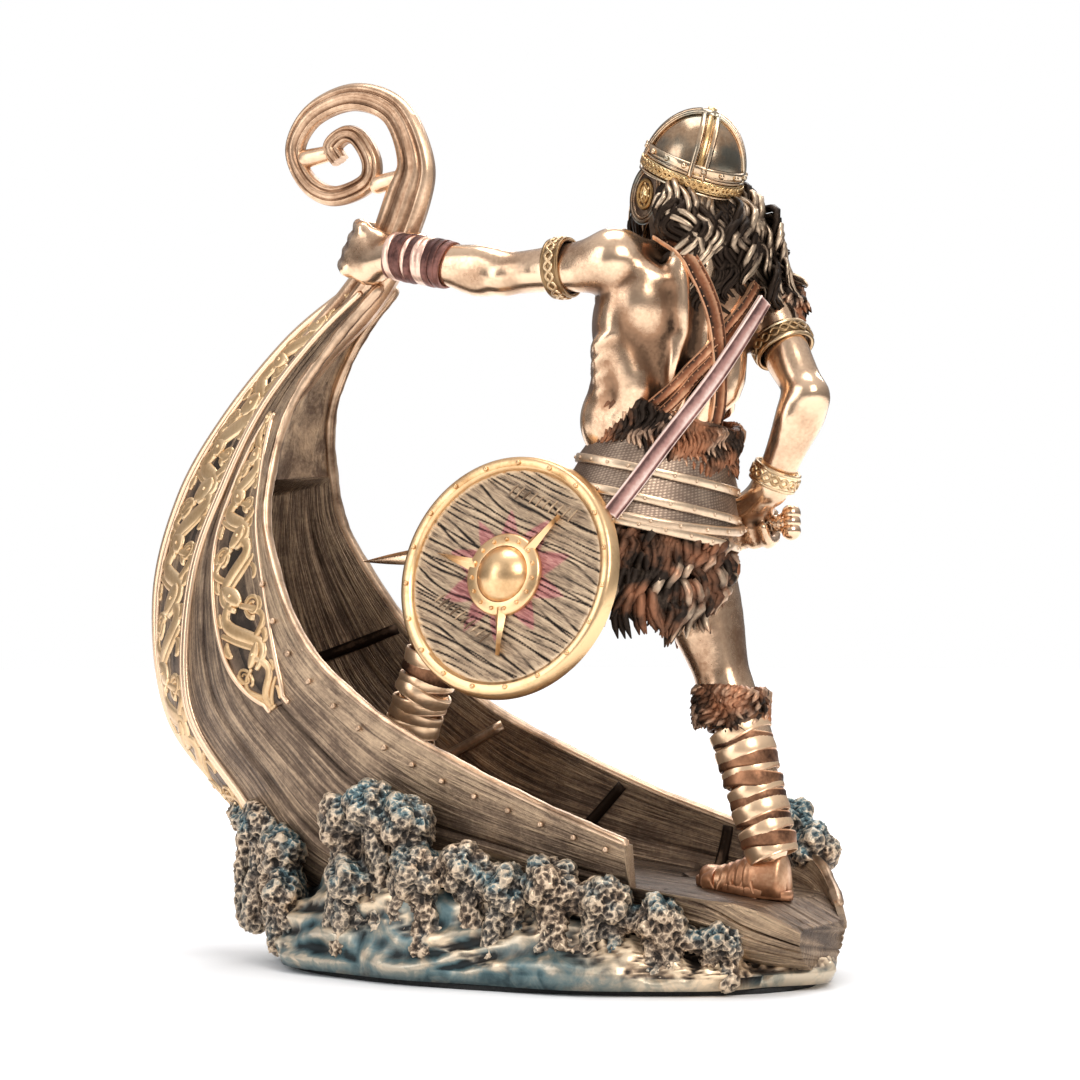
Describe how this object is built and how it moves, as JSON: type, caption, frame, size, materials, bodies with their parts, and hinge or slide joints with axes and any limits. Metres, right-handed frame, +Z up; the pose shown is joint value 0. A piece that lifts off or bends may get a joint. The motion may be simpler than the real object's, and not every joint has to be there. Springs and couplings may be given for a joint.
{
  "type": "viking warrior statue",
  "caption": "Cold-cast bronze figurine of a viking with sword and round shield, striding in a longship's bow on foaming waves",
  "frame": {"origin": "on the underside, under the middle of the ship's hull", "axes": "X runs along the ship with the bow towards -X, the shield hangs on the -Y side, Z is up"},
  "size_m": [0.2385, 0.1168, 0.2781],
  "materials": {
    "ship_bronze": "cold-cast bronze, dark brown in the recesses, rubbed bright on the edges, with gold relief and blue-green water",
    "figure_bronze": "cold-cast bronze with warm highlights, copper-orange leather and dark hair",
    "shield_bronze": "antique gold rim and boss over dark bronze planks",
    "sword_bronze": "dark bronze, rubbed bright on the edges",
    "pad_felt": "thin black felt"
  },
  "bodies": {
    "root": {"ship_and_sea": "ship_bronze", "warrior": "figure_bronze", "shield": "shield_bronze", "sword": "sword_bronze", "base_pad": "pad_felt"}
  },
  "joints": []
}
